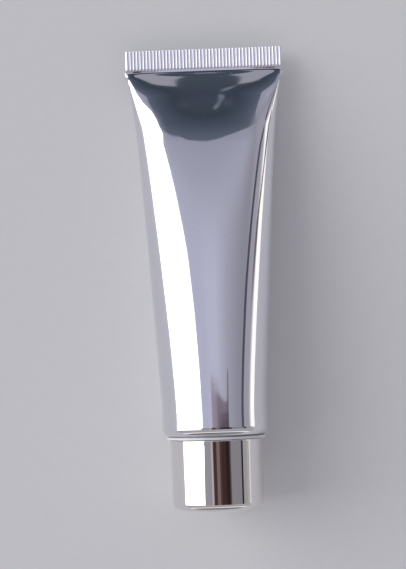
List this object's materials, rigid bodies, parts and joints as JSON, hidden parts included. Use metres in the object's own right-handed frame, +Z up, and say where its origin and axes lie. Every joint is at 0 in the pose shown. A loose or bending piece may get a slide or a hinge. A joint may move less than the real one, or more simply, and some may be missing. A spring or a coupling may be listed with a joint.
{
  "type": "squeeze tube",
  "caption": "Laminate squeeze tube with a ribbed flat tail and a bright screw cap, lying on its flattened underside.",
  "frame": {"origin": "centre of the part's box, on the surface that the tube lies on", "axes": "+Y along the tube from the cap to the crimped tail, +Z up from the surface, +X across the crimp"},
  "size_m": [0.0538, 0.1536, 0.0357],
  "materials": {
    "sleeve": "mirror-bright laminate",
    "shoulder": "gloss",
    "wad": "matte",
    "cap_core": "satin",
    "cap_shell": "mirror"
  },
  "bodies": {
    "tube": {"sleeve": "sleeve", "shoulder": "shoulder"},
    "wad": {"wad": "wad"},
    "cap": {"cap_core": "cap_core", "cap_shell": "cap_shell"}
  },
  "joints": [
    {"name": "cap_lift", "type": "slide", "parent": "tube", "child": "wad", "axis": [0, -0.9981, 0.061], "range_m": [0, 0.012]},
    {"name": "cap_turn", "type": "hinge", "parent": "wad", "child": "cap", "pos_m": [0, -0.05282, 0.01835], "axis": [0, -0.9981, 0.061], "range_deg": [0, 1440]}
  ],
  "couplings": [
    {"joint": "cap_turn", "follows": "cap_lift", "rad_per_m": 2094.4}
  ]
}
